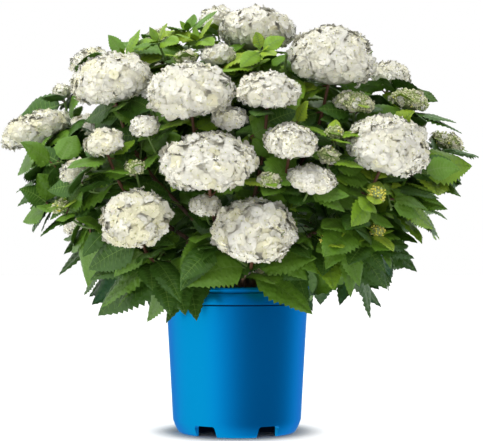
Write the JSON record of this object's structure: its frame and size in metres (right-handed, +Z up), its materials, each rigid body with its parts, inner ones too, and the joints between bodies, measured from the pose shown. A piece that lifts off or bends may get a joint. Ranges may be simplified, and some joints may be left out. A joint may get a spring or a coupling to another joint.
{
  "type": "hydrangea shrub in a nursery pot",
  "caption": "Rounded mophead hydrangea in full white flower, on woody canes in a plain round nursery pot.",
  "frame": {"origin": "centre of the pot's foot, on the ground", "axes": "+Z up, -Y towards the front that the picture shows, +X to the right of that view"},
  "size_m": [0.7302, 0.6819, 0.6787],
  "materials": {
    "pot": "satin moulded blue plastic",
    "potting_mix": "moist bark-based potting mix",
    "cane": "thin red-brown bark",
    "foliage": "green leaves and white flower heads"
  },
  "bodies": {
    "root": {"pot": "pot", "potting_mix": "potting_mix", "cane_top": "cane", "spray_top": "foliage", "cane_upper_right": "cane", "spray_upper_right": "foliage", "cane_right_shoulder": "cane", "spray_right_shoulder": "foliage", "cane_right": "cane", "spray_right": "foliage", "cane_far_right": "cane", "spray_far_right": "foliage", "cane_centre_top": "cane", "spray_centre_top": "foliage", "cane_centre_right": "cane", "spray_centre_right": "foliage", "cane_centre": "cane", "spray_centre": "foliage", "cane_centre_left": "cane", "spray_centre_left": "foliage", "cane_upper_left": "cane", "spray_upper_left": "foliage", "cane_top_left": "cane", "spray_top_left": "foliage", "cane_far_left": "cane", "spray_far_left": "foliage", "cane_left": "cane", "spray_left": "foliage", "cane_low_left": "cane", "spray_low_left": "foliage", "cane_low_centre": "cane", "spray_low_centre": "foliage", "cane_low_right": "cane", "spray_low_right": "foliage", "cane_back_1": "cane", "spray_back_1": "foliage", "cane_back_2": "cane", "spray_back_2": "foliage", "cane_back_3": "cane", "spray_back_3": "foliage", "cane_back_4": "cane", "spray_back_4": "foliage", "cane_back_5": "cane", "spray_back_5": "foliage", "cane_back_6": "cane", "spray_back_6": "foliage", "cane_back_7": "cane", "spray_back_7": "foliage", "cane_back_8": "cane", "spray_back_8": "foliage", "cane_back_9": "cane", "spray_back_9": "foliage", "cane_back_10": "cane", "spray_back_10": "foliage"}
  },
  "joints": []
}
